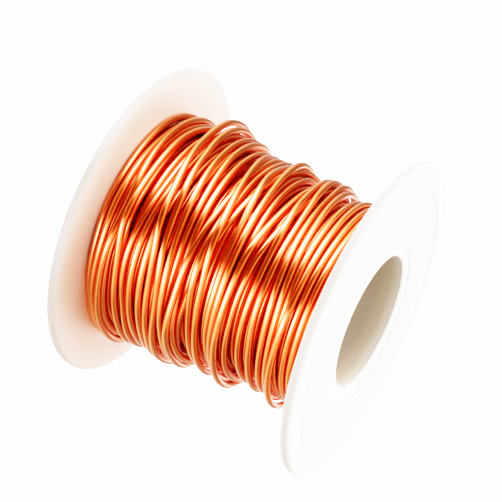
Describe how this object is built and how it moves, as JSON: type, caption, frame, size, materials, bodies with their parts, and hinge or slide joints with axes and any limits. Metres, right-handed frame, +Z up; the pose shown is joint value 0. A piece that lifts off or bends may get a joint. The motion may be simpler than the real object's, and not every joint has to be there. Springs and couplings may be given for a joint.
{
  "type": "wire spool",
  "caption": "White plastic spool with thin round flanges and a spindle bore, filled with layers of round copper wire.",
  "frame": {"origin": "centre of the spool's footprint, on the face it stands on (the outer face of the bottom flange)", "axes": "+Z up along the bore, from the bottom flange to the labelled top flange; +X and +Y in the flange plane, the end of the wire lies at the +Y side, beside the top flange"},
  "size_m": [0.0508, 0.0508, 0.0413],
  "materials": {
    "spool_plastic": "moulded, fine satin",
    "blank_paper": "coated label paper, blank",
    "copper_wire": "bright drawn copper under a clear coat"
  },
  "bodies": {
    "root": {"barrel": "spool_plastic", "bottom_flange": "spool_plastic", "top_flange": "spool_plastic", "face_label": "blank_paper", "wire_winding": "copper_wire", "wire_free_end": "copper_wire"}
  },
  "joints": []
}
